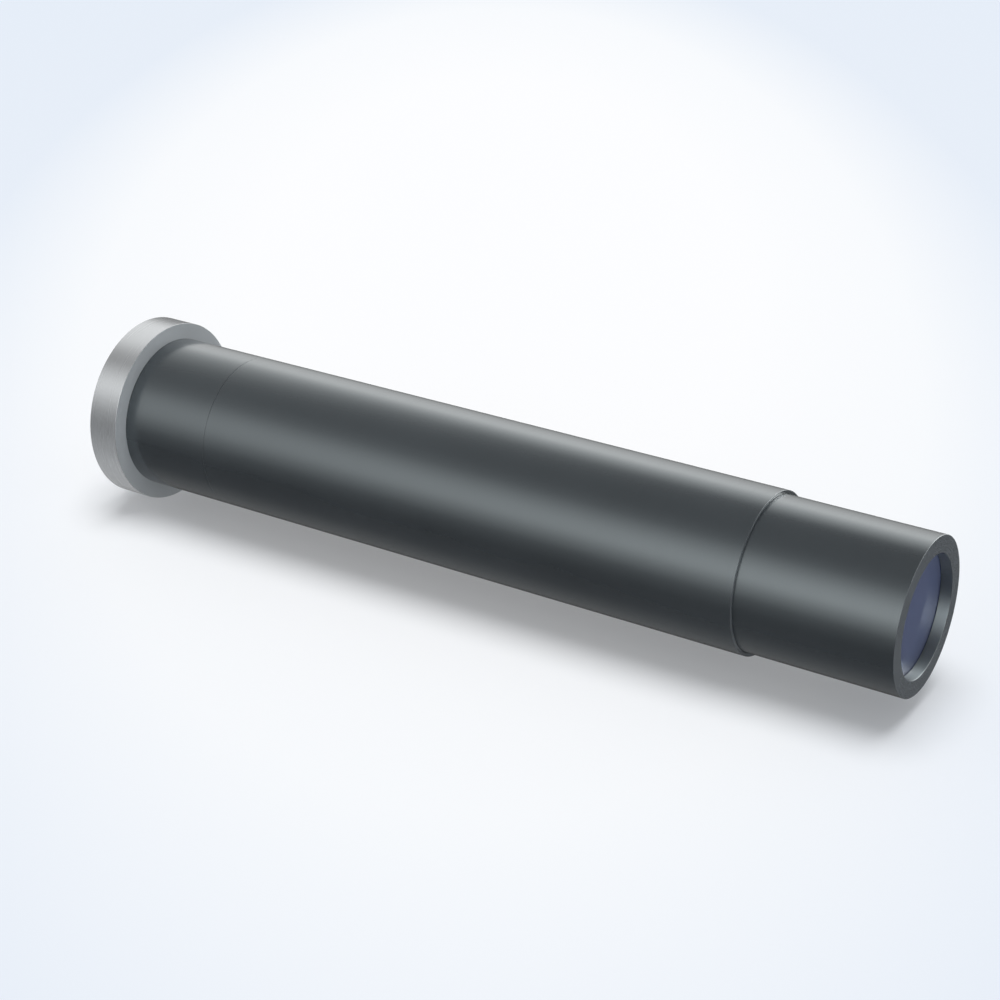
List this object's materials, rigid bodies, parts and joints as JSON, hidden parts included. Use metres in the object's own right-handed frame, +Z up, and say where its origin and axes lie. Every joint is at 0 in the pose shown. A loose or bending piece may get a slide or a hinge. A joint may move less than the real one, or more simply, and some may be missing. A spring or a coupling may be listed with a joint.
{
  "type": "panoramic inspection lens",
  "caption": "Long tubular machine vision lens with a bright camera mount ring, black barrels and a recessed blue coated front glass.",
  "frame": {"origin": "centre of the flat seat on the back of the mount ring, where the lens meets the camera", "axes": "+X along the optical axis from the camera to the front glass, +Z up, +Y completes the set"},
  "size_m": [0.1731, 0.0362, 0.0362],
  "materials": {
    "silver_metal": "turned, clear anodised",
    "black_barrel": "satin black anodised",
    "black_inner": "matt black anodised",
    "coated_glass": "polished, blue anti-reflection coating",
    "optical_glass": "polished",
    "steel_pin": "ground"
  },
  "bodies": {
    "housing": {"camera_mount": "silver_metal", "rear_ring": "black_inner", "rear_lens": "optical_glass", "rear_barrel": "black_barrel", "main_barrel": "black_barrel", "relay_ring": "black_inner", "relay_rear_lens": "optical_glass", "stop_rear_spacer": "black_inner", "aperture_stop": "black_inner", "stop_front_spacer": "black_inner", "relay_front_lens": "optical_glass", "field_spacer": "black_inner", "field_lens": "optical_glass"},
    "focus_cell": {"lens_cell": "black_inner", "guide_pin": "steel_pin", "second_lens": "optical_glass", "cell_spacer": "black_inner", "front_lens": "coated_glass"},
    "focus_barrel": {"focus_sleeve": "black_inner", "front_barrel": "black_barrel"}
  },
  "joints": [
    {"name": "focus_travel", "type": "slide", "parent": "housing", "child": "focus_cell", "axis": [1, 0, 0], "range_m": [-0.001, 0.002]},
    {"name": "focus_turn", "type": "hinge", "parent": "focus_cell", "child": "focus_barrel", "pos_m": [0.1398, 0, 0], "axis": [1, 0, 0], "range_deg": [-360, 720]}
  ],
  "couplings": [
    {"joint": "focus_turn", "follows": "focus_travel", "rad_per_m": 6283.2}
  ]
}
